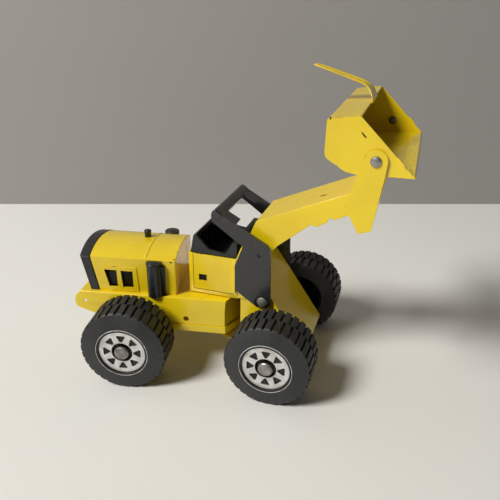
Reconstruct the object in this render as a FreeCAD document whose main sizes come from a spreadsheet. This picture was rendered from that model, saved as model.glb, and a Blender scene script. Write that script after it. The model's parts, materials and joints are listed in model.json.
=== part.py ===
"""A toy front loader in pressed steel and moulded plastic, as a parametric document.

The rear section carries the hood and the rear axle. The front section carries the cab, the front axle and
the boom, and swings on the steering rivet. Each section is drawn in a frame of its own: x forwards from its
axle, y to the left, z up from the ground. The front section stands turned by steer_angle, and the boom is
drawn raised. Sizes are millimetres.
"""
import FreeCAD, Part

import os
import re

import Sketcher

Vector = FreeCAD.Vector

# ---------------------------------------------------------------- driving dimensions
DIMENSIONS = {
    "origin_x": -95.8,  # rear axle, from the middle of the whole model's box
    "origin_y": 5.98,
    "wheelbase_rear": 104.4,  # rear axle to steering rivet
    "wheelbase_front": 36.4,  # steering rivet to front axle
    "steer_angle": 10.56,  # how far the front section stands turned to the right
    "skin": 0.9,  # pressed steel sheet
    "running_gap": 0.05,  # radial clearance of everything that turns
    "face_gap": 0.1,  # between flat faces that slide past each other
    "wheel_radius": 38.0,  # also the height of both axles
    "axle_radius": 2.4,
    "axle_half": 82.4,
    # rear chassis
    "chassis_half": 37.0,
    "chassis_top_half": 35.5,
    "chassis_top": 69.9,
    "chassis_crease": 59.7,
    "chassis_foot": 31.0,
    "chassis_rear": -57.9,
    "chassis_corner": 82.8,
    "chassis_nose": 95.9,
    "nose_half": 13.0,
    "pan_lap": 1.3,
    "pan_base": 36.7,
    "pan_rim": 43.4,
    "pan_rear": 14.0,
    "tongue_radius": 11.0,
    "front_hole_x": 46.8,
    "front_hole_z": 49.0,
    "front_hole_radius": 2.6,
    "rear_hole_x": -48.4,
    "rear_hole_z": 60.6,
    "rear_hole_radius": 1.5,
    # hood
    "hood_half": 31.0,
    "hood_front": 36.5,
    "hood_crease": 103.7,
    "hood_crown": 6.0,
    "hood_raise": 0.6,
    "grille_lap": 0.7,
    "grille_wall": 1.8,
    "cleaner_x": 18.4,
    "cleaner_y": 33.6,
    "cleaner_radius": 6.6,
    "cleaner_top": 103.0,
    "stub_x": 1.5,
    "stub_y": 8.0,
    "stub_radius": 3.1,
    "stub_foot": 107.4,
    "stub_top": 116.2,
    # front chassis and cab
    "frame_half": 33.5,
    "frame_base": 27.0,
    "frame_rear": -38.0,
    "cab_half": 34.5,
    "cab_base": 71.0,
    "cab_top": 111.0,
    "cab_rear": -87.6,
    "cab_front": -40.5,
    "cab_border": 5.0,
    "cab_bevel": 2.0,
    "port_x": -73.7,
    "port_z": 88.0,
    "port_width": 7.6,
    "port_height": 6.2,
    "rivet_radius": 3.0,
    "rivet_head": 3.9,
    # boom
    "boom_pivot_x": -16.8,
    "boom_pivot_z": 74.5,
    "boom_half": 28.0,
    "bar_inner": 34.8,
    "bar_outer": 37.2,
    "pin_radius": 2.0,
    "pin_x": -20.0,
    "pin_z": 119.5,
    "bracket_half": 75.0,
    # bucket
    "bucket_half": 73.0,
    "bucket_pivot_x": 70.5,
    "bucket_pivot_z": 219.8,
    "bucket_rivet_radius": 2.5,
    "bucket_head_radius": 3.85,
    "lever_root_half": 15.0,
    "lever_half": 7.5,
    "lever_tip_half": 4.0,
    # wheels
    "tread_inner": 46.1,
    "tread_outer": 79.1,
    "wheel_face": 82.7,
    "core_radius": 23.2,
    "slot_width": 2.1,
    "slot_depth": 1.9,
    "slot_count": 32.0,
    "disc_radius": 20.7,
    "disc_hole": 9.3,
    "spoke_count": 8.0,
    "cap_radius": 6.4,
}

doc = FreeCAD.newDocument("toy_front_loader")
sheet = doc.addObject("Spreadsheet::Sheet", "Dimensions")
cells = []


def add_cell(alias, value):
    """Puts one plain number in the sheet under a name of its own."""
    cells.append(alias)
    sheet.set("A%d" % len(cells), alias)
    sheet.set("B%d" % len(cells), repr(float(value)))
    sheet.setAlias("B%d" % len(cells), alias)


for alias, value in DIMENSIONS.items():
    add_cell(alias, value)
doc.recompute()


def formula(text):
    """A sheet expression written with bare names, such as 'hood_half + skin', as FreeCAD reads it."""
    return re.sub(r"[a-z]\w*", lambda name: "Dimensions." + name[0] if name[0] in cells else name[0], text)


def size(text):
    """What a formula is worth now."""
    return float(sheet.evalExpression(formula(str(text))))


# ---------------------------------------------------------------- building blocks
def update(item):
    """Brings one piece up to date, without the rest of the document."""
    doc.recompute([item])


def new_body(name):
    body = doc.addObject("PartDesign::Body", name)
    body.Label = name
    return body


def origin_plane(body, role):
    return [part for part in body.Origin.OriginFeatures if part.Role == role][0]


def new_sketch(body, plane, height="0", tilt=0.0):
    """A sketch on one of the body's own planes, lifted by height along it and turned by tilt about y."""
    sketch = body.newObject("Sketcher::SketchObject", body.Name + "_sketch")
    sketch.AttachmentSupport = [(origin_plane(body, plane), "")]
    sketch.MapMode = "FlatFace"
    turn = FreeCAD.Rotation(Vector(0, 1, 0), tilt)
    sketch.AttachmentOffset = FreeCAD.Placement(turn.multVec(Vector(0, 0, size(height))), turn)
    if height != "0" and tilt == 0.0:
        sketch.setExpression("AttachmentOffset.Base.z", formula(height))
    return sketch


def bind(sketch, kind, geometry, point, text):
    """Ties one coordinate of a point, or one radius, to the sheet."""
    if kind == "Radius":
        index = sketch.addConstraint(Sketcher.Constraint(kind, geometry, size(text)))
    else:
        index = sketch.addConstraint(Sketcher.Constraint(kind, -1, 1, geometry, point, size(text)))
    sketch.setExpression("Constraints[%d]" % index, formula(text))


def as_formula(sketch, alias, value):
    """Formulas stay as they are. A plain number goes in the sheet under the sketch's own name."""
    if isinstance(value, str):
        return value
    add_cell(alias, value)
    return alias


def outline(sketch, name, points):
    """A closed outline of straight sides through points, each a number or a formula across and up."""
    first = sketch.GeometryCount
    named = []
    for number, (across, up) in enumerate(points, 1):
        across = as_formula(sketch, "%s_across_%d" % (name, number), across)
        up = as_formula(sketch, "%s_up_%d" % (name, number), up)
        named.append((across, up))
    sheet.recompute()
    corners = [Vector(size(across), size(up), 0) for across, up in named]
    for number, corner in enumerate(corners):
        sketch.addGeometry(Part.LineSegment(corner, corners[(number + 1) % len(corners)]))
    for number in range(len(corners)):
        following = first + (number + 1) % len(corners)
        sketch.addConstraint(Sketcher.Constraint("Coincident", first + number, 2, following, 1))
    for number, (across, up) in enumerate(named):
        bind(sketch, "DistanceX", first + number, 1, across)
        bind(sketch, "DistanceY", first + number, 1, up)


def box_outline(sketch, low_x, high_x, low_y, high_y, name="box"):
    outline(sketch, name, [(low_x, low_y), (high_x, low_y), (high_x, high_y), (low_x, high_y)])


def circle(sketch, across, up, radius):
    number = sketch.GeometryCount
    sketch.addGeometry(Part.Circle(Vector(size(across), size(up), 0), Vector(0, 0, 1), size(radius)))
    bind(sketch, "DistanceX", number, 3, across)
    bind(sketch, "DistanceY", number, 3, up)
    bind(sketch, "Radius", number, 3, radius)


def pad(body, sketch, length, side="Symmetric", back=False):
    feature = body.newObject("PartDesign::Pad", body.Name + "_pad")
    feature.Profile = sketch
    feature.SideType = side
    feature.Reversed = back
    feature.Length = size(length)
    feature.setExpression("Length", formula(length))
    update(body)
    return feature


def pocket(body, sketch, length="600", side="Symmetric", back=False):
    """Cuts, and makes sure that something was cut."""
    before = body.Shape.Volume
    feature = body.newObject("PartDesign::Pocket", body.Name + "_pocket")
    feature.Profile = sketch
    feature.SideType = side
    feature.Reversed = back
    feature.Length = size(length)
    feature.setExpression("Length", formula(length))
    update(body)
    if not body.Shape.Volume < before - 0.01:
        raise RuntimeError(feature.Name + " cut nothing")
    return feature


def spin(body, sketch, axis="H_Axis"):
    """A full turn of the sketch about one of its own axes."""
    feature = body.newObject("PartDesign::Revolution", body.Name + "_turned")
    feature.Profile = sketch
    feature.ReferenceAxis = (sketch, [axis])
    feature.Angle = 360
    update(body)
    return feature


def around(body, feature, role, count):
    """Repeats a feature round one of the body's axes."""
    feature.Refine = False
    pattern = body.newObject("PartDesign::PolarPattern", body.Name + "_round")
    pattern.Refine = False
    pattern.Originals = [feature]
    pattern.Axis = (origin_plane(body, role), [""])
    pattern.Angle = 360
    pattern.Occurrences = int(size(count))
    body.Tip = pattern
    update(body)
    return pattern


def faces_towards(shape, *directions):
    """Names of the flat faces whose outward normal leans along any of the directions."""
    names = []
    for number, face in enumerate(shape.Faces, 1):
        normal = face.normalAt(0, 0)
        if any(normal.dot(Vector(*direction)) > 0.9 for direction in directions):
            names.append("Face%d" % number)
    return names


def hollow(body, open_faces, wall="skin"):
    """Leaves a skin inside the outer shape, open at the named faces."""
    base = body.Tip
    feature = body.newObject("PartDesign::Thickness", body.Name + "_skin")
    feature.Base = (base, open_faces)
    feature.Reversed = True
    feature.Join = 1
    feature.Value = size(wall)
    feature.setExpression("Value", formula(wall))
    update(body)
    return feature


def edges_near(shape, direction, spots):
    """Names of the straight edges along direction whose middle is at any (x, y, z) spot. None is any."""
    names = []
    for number, edge in enumerate(shape.Edges, 1):
        if edge.Curve.TypeId != "Part::GeomLine":
            continue
        if abs(edge.Curve.Direction.dot(Vector(*direction))) < 0.99:
            continue
        middle = edge.CenterOfMass
        for spot in spots:
            gaps = [abs(have - want) for have, want in zip(middle, spot) if want is not None]
            if max(gaps) < 0.6:
                names.append("Edge%d" % number)
                break
    return names


def rounded(body, radius, edges):
    if not edges:
        raise RuntimeError(body.Name + ": no edges to round")
    base = body.Tip
    feature = body.newObject("PartDesign::Fillet", body.Name + "_fillet")
    feature.Base = (base, edges)
    feature.Radius = size(radius)
    feature.setExpression("Radius", formula(radius))
    update(body)
    return feature


def in_rear(body, height="0", turned=0):
    """Stands a sub-part in the rear section's frame."""
    body.Placement = FreeCAD.Placement(Vector(0, 0, 0), FreeCAD.Rotation(Vector(0, 0, 1), turned))
    body.setExpression("Placement.Base.x", formula("origin_x"))
    body.setExpression("Placement.Base.y", formula("origin_y"))
    body.setExpression("Placement.Base.z", formula(height))


def in_front(body, height="0", turned=0):
    """Stands a sub-part in the front section's frame, turned to the right about the steering rivet."""
    turn = FreeCAD.Rotation(Vector(0, 0, 1), turned - size("steer_angle"))
    body.Placement = FreeCAD.Placement(Vector(0, 0, 0), turn)
    reach = "wheelbase_front * cos(steer_angle * 1 deg)"
    swing = "wheelbase_front * sin(steer_angle * 1 deg)"
    body.setExpression("Placement.Base.x", formula("origin_x + wheelbase_rear + " + reach))
    body.setExpression("Placement.Base.y", formula("origin_y - " + swing))
    body.setExpression("Placement.Base.z", formula(height))


# ---------------------------------------------------------------- rear section
def rear_frame():
    """The rear chassis: one channel, open below, creased along its sides and cropped at the nose."""
    body = new_body("rear_frame")
    section = new_sketch(body, "YZ_Plane", "chassis_rear")
    outline(section, "chassis_section", [
        ("-chassis_half", "chassis_foot"), ("chassis_half", "chassis_foot"),
        ("chassis_half", "chassis_crease"), ("chassis_top_half", "chassis_top"),
        ("-chassis_top_half", "chassis_top"), ("-chassis_half", "chassis_crease")])
    pad(body, section, "chassis_nose - chassis_rear", "One side")
    crop = new_sketch(body, "XY_Plane")
    for side in ("", "-"):
        name = "crop_right" if side else "crop_left"
        outline(crop, name, [
            ("chassis_corner", side + "chassis_half"), ("chassis_nose", side + "nose_half"),
            ("chassis_nose + 2", side + "nose_half"), ("chassis_nose + 2", side + "(chassis_half + 2)"),
            ("chassis_corner", side + "(chassis_half + 2)")])
    pocket(body, crop)
    slope = new_sketch(body, "XZ_Plane")
    outline(slope, "chassis_slope", [
        (-52.4, "chassis_top"), (-52.4, "chassis_top + 1"), ("chassis_rear - 1", "chassis_top + 1"),
        ("chassis_rear - 1", 63.4)])
    pocket(body, slope)
    rounded(body, "1.6", edges_near(body.Shape, (1, 0, 0), [(None, -35.5, 69.9), (None, 35.5, 69.9)]))
    hollow(body, faces_towards(body.Shape, (0, 0, -1)))
    edge = new_sketch(body, "XZ_Plane")
    outline(edge, "chassis_tail", [
        ("chassis_rear - 1", 30.0), ("chassis_rear - 1", 54.8), (-57.2, 54.8), (-54.5, 52.9),
        (-12.0, 38.2), (-7.5, 31.0), (-7.5, 30.0)])
    outline(edge, "chassis_belly", [
        (7.5, 30.0), (7.5, 31.0), (12.0, "pan_base + skin"), ("chassis_nose + 1", "pan_base + skin"),
        ("chassis_nose + 1", 30.0)])
    pocket(body, edge)
    tongue = new_sketch(body, "XY_Plane", "chassis_top")
    circle(tongue, "wheelbase_rear", "0", "tongue_radius")
    pad(body, tongue, "skin", "One side", True)
    web = new_sketch(body, "XY_Plane", "chassis_top")
    box_outline(web, "chassis_nose - 2", "wheelbase_rear", "-tongue_radius", "tongue_radius", "tongue_web")
    pad(body, web, "skin", "One side", True)
    rivet = new_sketch(body, "XY_Plane", "chassis_top")
    circle(rivet, "wheelbase_rear", "0", "rivet_radius + running_gap")
    pocket(body, rivet, "6")
    holes = new_sketch(body, "XZ_Plane")
    circle(holes, "0", "wheel_radius", "axle_radius")
    circle(holes, "front_hole_x", "front_hole_z", "front_hole_radius")
    circle(holes, "rear_hole_x", "rear_hole_z", "rear_hole_radius")
    pocket(body, holes)
    in_rear(body)


def rear_pan():
    """The belly pan: a shallow tray that laps the chassis walls from outside and closes it below."""
    body = new_body("rear_pan")
    plan = new_sketch(body, "XY_Plane", "pan_base")
    lap = "(chassis_half + pan_lap)"
    outline(plan, "pan_plan", [
        ("pan_rear", "-" + lap), ("chassis_corner + 0.77", "-" + lap), ("chassis_nose + pan_lap", "-13.3"),
        ("chassis_nose + pan_lap", "13.3"), ("chassis_corner + 0.77", lap), ("pan_rear", lap)])
    pad(body, plan, "pan_rim - pan_base", "One side")
    hollow(body, faces_towards(body.Shape, (0, 0, 1), (-1, 0, 0)))
    tongue = new_sketch(body, "XY_Plane", "pan_base")
    circle(tongue, "wheelbase_rear", "0", "tongue_radius")
    pad(body, tongue, "skin", "One side")
    rivet = new_sketch(body, "XY_Plane", "pan_base")
    circle(rivet, "wheelbase_rear", "0", "rivet_radius + running_gap")
    pocket(body, rivet, "6")
    in_rear(body)


def hood_section(body, start, lap="0"):
    """Straight sides and a low arched top, seen from the front."""
    section = new_sketch(body, "YZ_Plane", start)
    half = "(hood_half + %s)" % lap
    base = Vector(-size(half), size("chassis_top"), 0)
    crease = Vector(-size(half), size("hood_crease"), 0)
    crown = Vector(0, size("hood_crease + hood_crown + " + lap), 0)
    mirrored = [Vector(-point.x, point.y, 0) for point in (crease, base)]
    section.addGeometry(Part.LineSegment(base, crease))
    section.addGeometry(Part.Arc(crease, crown, mirrored[0]))
    section.addGeometry(Part.LineSegment(mirrored[0], mirrored[1]))
    section.addGeometry(Part.LineSegment(mirrored[1], base))
    for first, first_end, second, second_end in ((0, 2, 1, 2), (1, 1, 2, 1), (2, 2, 3, 1), (3, 2, 0, 1)):
        section.addConstraint(Sketcher.Constraint("Coincident", first, first_end, second, second_end))
    bind(section, "DistanceX", 0, 1, "-" + half)
    bind(section, "DistanceY", 0, 1, "chassis_top")
    bind(section, "DistanceX", 0, 2, "-" + half)
    bind(section, "DistanceY", 0, 2, "hood_crease")
    bind(section, "DistanceX", 2, 1, half)
    bind(section, "DistanceY", 2, 1, "hood_crease")
    bind(section, "DistanceX", 2, 2, half)
    bind(section, "DistanceY", 2, 2, "chassis_top")
    rise = "(hood_crown + %s)" % lap
    bind(section, "Radius", 1, 3, "(%s ^ 2 + %s ^ 2) / (2 * %s)" % (half, rise, rise))
    return section


def engine_hood():
    """The hood: a pressed arch with a raised panel and two openings in each side."""
    body = new_body("engine_hood")
    pad(body, hood_section(body, "-45"), "hood_front + 45", "One side")
    rake = new_sketch(body, "XZ_Plane")
    outline(rake, "hood_rake", [(-33.6, 62.0), (-43.1, 112.0), (-48.0, 112.0), (-48.0, 62.0)])
    pocket(body, rake)
    hollow(body, faces_towards(body.Shape, (0, 0, -1), (1, 0, 0), (-0.98, 0, -0.19)))
    for side, back in (("-hood_half", False), ("hood_half", True)):
        panel = new_sketch(body, "XZ_Plane", side)
        outline(panel, "panel_" + ("left" if not back else "right"), [
            (-24.6, 70.8), (2.6, 70.8), (1.0, 95.0), (-31.0, 95.2)])
        pad(body, panel, "hood_raise", "One side", not back)
    openings = new_sketch(body, "XZ_Plane")
    outline(openings, "rear_opening", [(-25.4, 74.4), (-17.3, 74.4), (-17.6, 91.5), (-29.4, 91.6)])
    outline(openings, "front_opening", [(-12.5, 74.4), (-2.5, 74.6), (-2.6, 91.1), (-13.9, 91.3)])
    pocket(body, openings)
    stub = new_sketch(body, "XY_Plane", "hood_crease + hood_crown")
    circle(stub, "stub_x", "stub_y", "stub_radius")
    pocket(body, stub, "8")
    in_rear(body)


def hood_end_panel():
    """The flat sheet that closes the hood towards the cab."""
    body = new_body("hood_end_panel")
    pad(body, hood_section(body, "hood_front"), "skin", "One side")
    in_rear(body)


def grille():
    """The radiator cap at the tail: moulded, leaning back, with louvre grooves across it."""
    body = new_body("grille")
    pad(body, hood_section(body, "-56", "grille_lap"), "23", "One side")
    rake = new_sketch(body, "XZ_Plane")
    outline(rake, "grille_front", [(-34.5, 66.0), (-43.24, 112.0), (-30.0, 112.0), (-30.0, 66.0)])
    outline(rake, "grille_back", [(-43.2, 66.0), (-52.7, 112.0), (-60.0, 112.0), (-60.0, 66.0)])
    pocket(body, rake)
    rounded(body, "1.2", edges_near(body.Shape, (-0.2, 0, 0.98), [(None, -31.7, None), (None, 31.7, None)]))
    lean = (52.7 - 43.2) / (112.0 - 66.0)
    for number in range(6):
        low = 74.5 + 4.8 * number
        face = -43.2 - lean * (low - 66.0)
        louvre = new_sketch(body, "XZ_Plane")
        outline(louvre, "louvre_%d" % number, [
            (face - 1.5, low), (face + 1.8, low), (face + 0.2, low + 2.4), (face - 1.5, low + 2.4)])
        pocket(body, louvre, "50")
    in_rear(body)


def air_cleaner(side, sign):
    """A half-round air cleaner with a square bracket behind it, against the hood's side."""
    body = new_body("air_cleaner_" + side)
    plan = new_sketch(body, "XY_Plane", "chassis_top")
    circle(plan, "cleaner_x", sign + "cleaner_y", "cleaner_radius")
    pad(body, plan, "cleaner_top - chassis_top", "One side")
    rounded(body, "1.5", edges_round(body.Shape, "cleaner_top"))
    bracket = new_sketch(body, "XY_Plane", "chassis_top")
    box_outline(bracket, "cleaner_x + 2", "cleaner_x + 9.5", sign + "(hood_half - 1)",
                sign + "(hood_half + 3.5)", "bracket_" + side)
    pad(body, bracket, "cleaner_top - chassis_top - 4", "One side")
    inner = new_sketch(body, "XY_Plane")
    box_outline(inner, "cleaner_x - 20", "cleaner_x + 20", sign + "(hood_half - 20)", sign + "hood_half",
                "flat_" + side)
    pocket(body, inner)
    in_rear(body)


def edges_round(shape, height):
    """Names of the circular edges at a height."""
    names = []
    for number, edge in enumerate(shape.Edges, 1):
        if edge.Curve.TypeId == "Part::GeomCircle" and abs(edge.CenterOfMass.z - size(height)) < 0.01:
            names.append("Edge%d" % number)
    return names


def exhaust_stub():
    """A short round stub through the hood's top."""
    body = new_body("exhaust_stub")
    plan = new_sketch(body, "XY_Plane", "stub_foot")
    circle(plan, "stub_x", "stub_y", "stub_radius")
    pad(body, plan, "stub_top - stub_foot", "One side")
    rounded(body, "0.7", edges_round(body.Shape, "stub_top"))
    in_rear(body)


# ---------------------------------------------------------------- axles, wheels and rivets
def axle(name, place):
    body = new_body(name)
    section = new_sketch(body, "XZ_Plane")
    circle(section, "0", "0", "axle_radius")
    pad(body, section, "2 * axle_half")
    place(body, "wheel_radius")


def pair_of_turnings(name, place, profile, height, x="0"):
    """Two turned pieces, one each side, as one group: profile is (distance out, radius) corners."""
    halves = []
    for sign in ("-", ""):
        half = doc.addObject("PartDesign::Body", name + ("_right" if sign else "_left"))
        sketch = new_sketch(half, "YZ_Plane", x)
        outline(sketch, half.Name, [(sign + "(%s)" % out, radius) for out, radius in profile])
        spin(half, sketch)
        halves.append(half)
    pair = doc.addObject("Part::Compound", name)
    pair.Label = name
    pair.Links = halves
    update(pair)
    place(pair, height)


def axle_caps(name, place):
    """Domed push-on caps on the axle's ends."""
    pair_of_turnings(name, place, [
        ("axle_half - 3.2", "axle_radius"), ("axle_half - 3.2", "3.6"), ("axle_half - 1.2", "3.8"),
        ("axle_half - 1.0", "cap_radius"), ("axle_half + 0.4", "cap_radius"),
        ("axle_half + 1.7", "cap_radius * 0.72"), ("axle_half + 2.3", "cap_radius * 0.3"),
        ("axle_half + 2.4", "0"), ("axle_half", "0"), ("axle_half", "axle_radius")], "wheel_radius")


def axle_sleeves(name, place, wall):
    """Plastic sleeves that keep the wheels off the chassis."""
    pair_of_turnings(name, place, [
        (wall, "axle_radius"), (wall, "4.6"), ("tread_inner", "4.6"), ("tread_inner", "axle_radius")],
        "wheel_radius")


def tyre(name, place, turned):
    """A hard moulded tyre: two staggered rows of cross bars round it."""
    body = new_body("tyre_" + name)
    section = new_sketch(body, "YZ_Plane")
    outline(section, "tyre_" + name, [
        ("tread_inner + 0.4", "core_radius"), ("tread_inner + 0.4", 29.0), ("tread_inner", 36.4),
        ("tread_inner + 1.0", "wheel_radius"), ("tread_outer - 0.4", "wheel_radius"),
        ("tread_outer + 1.0", 36.6), (81.5, 31.0), ("wheel_face", 25.0), ("wheel_face", "core_radius")])
    spin(body, section)
    middle = "(tread_inner + tread_outer) / 2"
    rows = ((0.0, "tread_inner - 2", middle + " - 0.7"), (0.5, middle + " + 0.7", "tread_outer + 2"))
    for shift, low, high in rows:
        tilt = shift * 360.0 / size("slot_count")
        slot = new_sketch(body, "XY_Plane", "wheel_radius - slot_depth", tilt)
        box_outline(slot, "-slot_width / 2", "slot_width / 2", low, high)
        cut = pocket(body, slot, "slot_depth + 2", "One side", True)
        around(body, cut, "Y_Axis", "slot_count")
    place(body, "wheel_radius", turned)


def wheel_core(name, place, turned):
    """The moulded wheel: rim, web and a long boss that runs on the axle."""
    body = new_body("wheel_core_" + name)
    section = new_sketch(body, "YZ_Plane")
    bore = "axle_radius + running_gap"
    outline(section, "core_" + name, [
        ("tread_inner + 0.4", "core_radius"), ("wheel_face", "core_radius"),
        ("wheel_face", "disc_radius + 0.2"), ("wheel_face - 2.6", "disc_radius + 0.2"),
        ("wheel_face - 2.6", "disc_hole - 0.6"),
        ("wheel_face - 5.0", "disc_hole - 1.2"), ("wheel_face - 5.0", bore), ("tread_inner + 0.2", bore),
        ("tread_inner + 0.2", 6.0), ("wheel_face - 7.2", 7.4), ("wheel_face - 5.2", 18.6),
        ("tread_inner + 0.4", "disc_radius + 1.6")])
    spin(body, section)
    place(body, "wheel_radius", turned)


def wheel_disc(name, place, turned):
    """The bright pressed disc: eight spokes between three-cornered windows."""
    body = new_body("wheel_disc_" + name)
    section = new_sketch(body, "YZ_Plane")
    outline(section, "disc_" + name, [
        ("wheel_face - 2.5", "disc_hole"), ("wheel_face - 1.5", "disc_hole"),
        ("wheel_face - 1.5", "disc_radius"), ("wheel_face - 2.5", "disc_radius")])
    spin(body, section)
    window = new_sketch(body, "XZ_Plane", "-wheel_face")
    outline(window, "window_" + name, [
        (-0.8, 10.2), (0.8, 10.2), (3.9, 15.6), (3.2, 16.6), (-3.2, 16.6), (-3.9, 15.6)])
    cut = pocket(body, window, "10")
    around(body, cut, "Y_Axis", "spoke_count")
    place(body, "wheel_radius", turned)


# ---------------------------------------------------------------- steering joint
def steering_rivet():
    """The long rivet that the front section swings on."""
    body = new_body("steering_rivet")
    section = new_sketch(body, "XZ_Plane")
    outline(section, "steering_rivet", [
        ("0", "frame_base - 1.7"), ("rivet_head", "frame_base - 1.3"),
        ("rivet_head", "frame_base - face_gap"),
        ("rivet_radius", "frame_base - face_gap"), ("rivet_radius", "cab_base + skin + face_gap"),
        ("rivet_head", "cab_base + skin + face_gap"), ("rivet_head", "cab_base + skin + 1.3"),
        ("0", "cab_base + skin + 1.7")])
    spin(body, section, "V_Axis")
    body.Placement = FreeCAD.Placement()
    body.setExpression("Placement.Base.x", formula("origin_x + wheelbase_rear"))
    body.setExpression("Placement.Base.y", formula("origin_y"))


def steering_sleeve():
    """The sleeve that holds the belly pan up off the front floor."""
    body = new_body("steering_sleeve")
    ring = new_sketch(body, "XY_Plane", "frame_base + skin + face_gap")
    circle(ring, "0", "0", "rivet_head")
    circle(ring, "0", "0", "rivet_radius + running_gap")
    pad(body, ring, "pan_base - frame_base - skin - face_gap", "One side")
    body.Placement = FreeCAD.Placement()
    body.setExpression("Placement.Base.x", formula("origin_x + wheelbase_rear"))
    body.setExpression("Placement.Base.y", formula("origin_y"))


# ---------------------------------------------------------------- front section
def front_frame():
    """The front chassis: walls, a sloping front and a floor whose tongue runs back under the rivet."""
    body = new_body("front_frame")
    side = new_sketch(body, "XZ_Plane")
    outline(side, "front_side", [
        ("frame_rear", "frame_base"), (22.7, "frame_base"), (24.4, 28.5), (-29.6, 106.5),
        ("frame_rear", 106.5)])
    pad(body, side, "2 * frame_half")
    hollow(body, faces_towards(body.Shape, (-1, 0, 0), (0, 0, 1)))
    floor = new_sketch(body, "XY_Plane", "frame_base")
    outline(floor, "tongue_plan", [
        ("frame_rear + 1", "-frame_half"), (-46.0, "-frame_half"), (-68.0, -27.0), (-68.0, 27.0),
        (-46.0, "frame_half"), ("frame_rear + 1", "frame_half")])
    pad(body, floor, "skin", "One side")
    rivet = new_sketch(body, "XY_Plane", "frame_base")
    circle(rivet, "-wheelbase_front", "0", "rivet_radius + running_gap")
    pocket(body, rivet, "6")
    holes = new_sketch(body, "XZ_Plane")
    circle(holes, "0", "wheel_radius", "axle_radius")
    circle(holes, "boom_pivot_x", "boom_pivot_z", "rivet_radius")
    pocket(body, holes)
    in_front(body)


def cab_shell():
    """The cab: a bevelled box open above, with a leaning cowl in front and flanges that stop the roll bar."""
    body = new_body("cab_shell")
    side = new_sketch(body, "XZ_Plane")
    box_outline(side, "cab_rear", "cab_front", "cab_base", "cab_top", "cab_side")
    pad(body, side, "2 * cab_half")
    for sign, name in (("", "left"), ("-", "right")):
        rear = new_sketch(body, "XY_Plane")
        outline(rear, "cab_rear_bevel_" + name, [
            ("cab_rear + cab_border", sign + "cab_half"), ("cab_rear", sign + "(cab_half - cab_bevel)"),
            ("cab_rear - 1", sign + "(cab_half - cab_bevel)"), ("cab_rear - 1", sign + "(cab_half + 1)"),
            ("cab_rear + cab_border", sign + "(cab_half + 1)")])
        pocket(body, rear)
        low = new_sketch(body, "YZ_Plane")
        outline(low, "cab_low_bevel_" + name, [
            (sign + "cab_half", "cab_base + cab_border"), (sign + "(cab_half - cab_bevel)", "cab_base"),
            (sign + "(cab_half - cab_bevel)", "cab_base - 1"), (sign + "(cab_half + 1)", "cab_base - 1"),
            (sign + "(cab_half + 1)", "cab_base + cab_border")])
        pocket(body, low)
    hollow(body, faces_towards(body.Shape, (0, 0, 1)))
    cowl = new_sketch(body, "XZ_Plane")
    outline(cowl, "cowl", [
        ("cab_front - skin", 103.0), ("cab_front", 103.0), ("cab_front", 108.5), (-34.2, 124.4),
        (-35.1, 124.4), ("cab_front - skin", 108.5)])
    pad(body, cowl, "2 * cab_half")
    for sign, back in (("-", False), ("", True)):
        name = "left" if not back else "right"
        flange = new_sketch(body, "XZ_Plane", sign + "(cab_half - skin)")
        outline(flange, "flange_" + name, [
            (-43.2, 78.5), (-42.2, 78.5), (-42.2, 106.6), (-35.5, 124.3), (-36.6, 124.3), (-43.2, 107.0)])
        pad(body, flange, "bar_outer - cab_half + skin", "One side", not back)
    for sign, back in (("-", False), ("", True)):
        name = "left" if not back else "right"
        lap = new_sketch(body, "XZ_Plane", sign + "(cab_half - skin)")
        outline(lap, "lap_" + name, [
            ("cab_front - 1", 73.0), (-33.0, 73.0), (-33.0, 103.0), ("cab_front - 1", 103.0)])
        pad(body, lap, "skin", "One side", not back)
    yoke = new_sketch(body, "XY_Plane", "cab_base")
    box_outline(yoke, "cab_front - 1", "-wheelbase_front", "-tongue_radius", "tongue_radius", "yoke")
    pad(body, yoke, "skin", "One side")
    nose = new_sketch(body, "XY_Plane", "cab_base")
    circle(nose, "-wheelbase_front", "0", "tongue_radius")
    pad(body, nose, "skin", "One side")
    rivet = new_sketch(body, "XY_Plane", "cab_base")
    circle(rivet, "-wheelbase_front", "0", "rivet_radius + running_gap")
    pocket(body, rivet, "6")
    port = new_sketch(body, "XZ_Plane")
    box_outline(port, "port_x - port_width / 2", "port_x + port_width / 2", "port_z - port_height / 2",
                "port_z + port_height / 2", "port")
    pocket(body, port)
    in_front(body)


def seat_tub():
    """The moulded tub in the cab: high ribbed back, low sides, and a console in front."""
    body = new_body("seat_tub")
    side = new_sketch(body, "XZ_Plane")
    outline(side, "tub_side", [
        (-85.8, 98.0), (-85.8, 112.0), (-82.4, 128.2), (-80.0, 128.2), (-68.0, 115.4), (-52.0, 113.0),
        (-46.6, 124.4), (-41.9, 124.4), (-41.9, 98.0)])
    pad(body, side, "2 * (cab_half - skin - 0.6)")
    rounded(body, "1.0", edges_near(body.Shape, (0, 1, 0), [(-82.4, None, 128.2), (-80.0, None, 128.2)]))
    corners = new_sketch(body, "XY_Plane")
    for sign, name in (("", "left"), ("-", "right")):
        outline(corners, "tub_corner_" + name, [
            ("cab_rear + cab_border + 0.7", sign + "(cab_half - skin - 0.5)"),
            ("cab_rear", sign + "(cab_half - cab_bevel - skin - 0.5)"), ("cab_rear", sign + "cab_half"),
            ("cab_rear + cab_border + 0.7", sign + "cab_half")])
    pocket(body, corners)
    well = new_sketch(body, "XY_Plane", "100")
    box_outline(well, "-80.4", "-54", "-(cab_half - skin - 3)", "cab_half - skin - 3", "well")
    pocket(body, well, "60", "One side", True)
    for number in range(-3, 4):
        rib = new_sketch(body, "XY_Plane", "100")
        box_outline(rib, "-81", "-79", "%d * 8 - 1" % number, "%d * 8 + 1" % number, "seat_rib")
        pad(body, rib, "25", "One side")
    in_front(body)


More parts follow.
